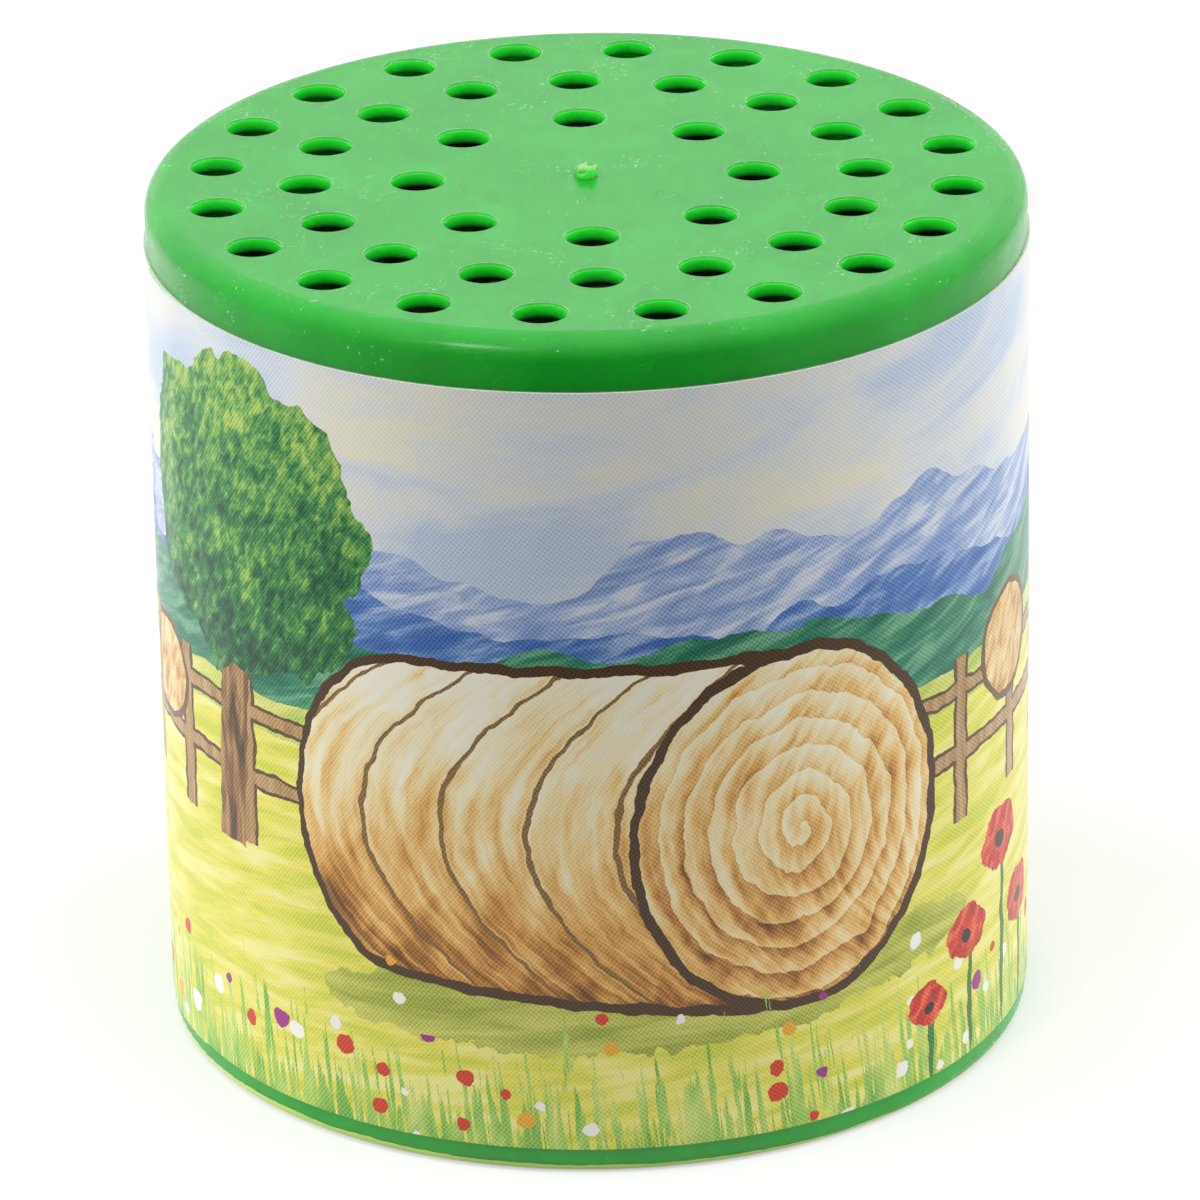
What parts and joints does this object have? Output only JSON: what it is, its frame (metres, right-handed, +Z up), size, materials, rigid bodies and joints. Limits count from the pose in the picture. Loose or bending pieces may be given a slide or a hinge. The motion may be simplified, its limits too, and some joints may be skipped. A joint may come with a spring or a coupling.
{
  "type": "animal sound box",
  "caption": "Small upright cylindrical sound box with a perforated plastic lid, a printed paper label and a weighted tilt bellows voice inside that sounds when it is turned over and back.",
  "frame": {"origin": "centre of the standing face of the base, on the can's axis", "axes": "+Z up along the can's axis to the lid, -Y towards the viewer in front of the box"},
  "size_m": [0.065, 0.065, 0.0663],
  "materials": {
    "lid_plastic": "satin moulded green",
    "base_plastic": "satin moulded green",
    "tube_board": "wound grey board",
    "label_paper": "varnished offset print",
    "felt": "pressed felt",
    "bellows_film": "coated film",
    "band_rubber": "matt rubber",
    "carrier_plastic": "moulded ivory",
    "weight_iron": "rough cast",
    "gasket_leather": "thin split leather",
    "reed_brass": "stamped sheet",
    "tongue_bronze": "spring-rolled strip",
    "rivet_steel": "plated",
    "valve_rubber": "thin sheet"
  },
  "bodies": {
    "housing": {"top_cap": "lid_plastic", "can_tube": "tube_board", "label": "label_paper", "bottom_cap": "base_plastic", "top_felt": "felt", "base_felt": "felt", "bellows": "bellows_film", "lower_band": "band_rubber"},
    "weight_unit": {"carrier": "carrier_plastic", "weight": "weight_iron", "resonator": "carrier_plastic", "upper_band": "band_rubber", "reed_gasket": "gasket_leather", "reed_plate": "reed_brass", "reed_clamp": "reed_brass", "reed_rivets": "rivet_steel", "valve_pin": "rivet_steel"},
    "tongue": {"reed_tongue": "tongue_bronze"},
    "valve": {"valve_disc": "valve_rubber"}
  },
  "joints": [
    {"name": "weight_slide", "type": "slide", "parent": "housing", "child": "weight_unit", "axis": [0, 0, 1], "range_m": [0, 0.0327], "deforming": ["bellows"]},
    {"name": "reed_flex", "type": "hinge", "parent": "weight_unit", "child": "tongue", "pos_m": [-0.006, -0.003, 0.0204], "axis": [0, 1, 0], "range_deg": [-2.5, 2.5], "stiffness_Nm_per_rad": 0.0002},
    {"name": "valve_lift", "type": "slide", "parent": "weight_unit", "child": "valve", "axis": [0, 0, -1], "range_m": [0, 0.0012]}
  ]
}
